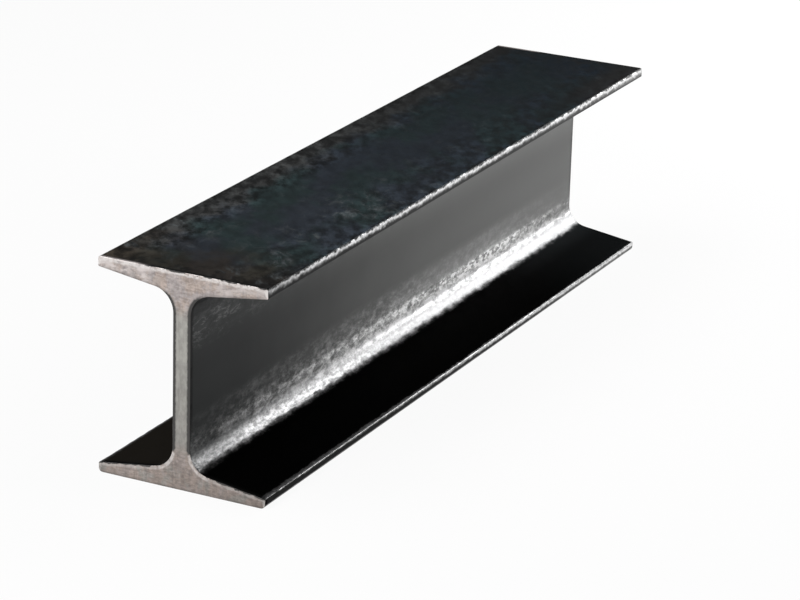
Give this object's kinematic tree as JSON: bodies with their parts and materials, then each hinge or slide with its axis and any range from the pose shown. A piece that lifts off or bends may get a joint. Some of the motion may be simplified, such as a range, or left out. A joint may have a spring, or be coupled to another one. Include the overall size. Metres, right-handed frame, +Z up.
{
  "type": "steel h-beam",
  "caption": "Short sawn length of hot-rolled steel H-beam: wide flanges that thin towards their tips, filleted into an upright web.",
  "frame": {"origin": "centre of the beam's bounding box, at the level of the lower flange's underside", "axes": "+X along the beam, +Y across its flanges, +Z up through the web"},
  "size_m": [0.6, 0.125, 0.15],
  "materials": {
    "rolled_steel": "dark hot-rolled mill scale, with bare sawn ends"
  },
  "bodies": {
    "root": {"h_beam": "rolled_steel"}
  },
  "joints": []
}
